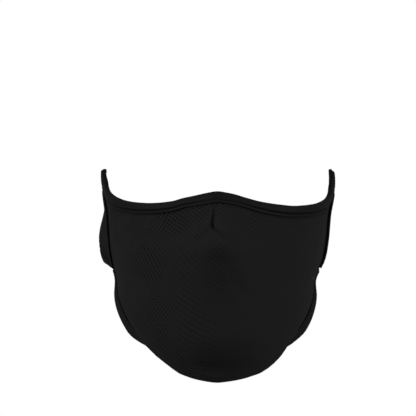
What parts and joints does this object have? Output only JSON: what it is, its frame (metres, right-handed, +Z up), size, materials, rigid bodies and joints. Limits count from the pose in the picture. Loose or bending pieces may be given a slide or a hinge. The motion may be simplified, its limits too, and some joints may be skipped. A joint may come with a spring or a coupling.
{
  "type": "half face mask",
  "caption": "Half face mask of black stretch knit, shaped over the nose and chin, with bound edges, lobe gussets and straps that pass behind the ears.",
  "frame": {"origin": "inner face of the mask in the middle of its top edge, where it sits on the bridge of the nose", "axes": "+X to the right as seen from the front, +Y into the mask towards the back of the head, +Z up"},
  "size_m": [0.1558, 0.1375, 0.1364],
  "materials": {
    "knit": "matt black stretch pique knit",
    "tape": "black folded binding tape with a soft satin face",
    "strap": "black bound elastic strap"
  },
  "bodies": {
    "root": {"face_panel": "knit", "top_binding": "tape", "lower_binding": "tape", "ear_edge_left": "tape", "ear_edge_right": "tape", "ear_loop_left": "strap", "ear_loop_right": "strap", "ear_wing_left": "knit", "ear_wing_right": "knit"}
  },
  "joints": []
}
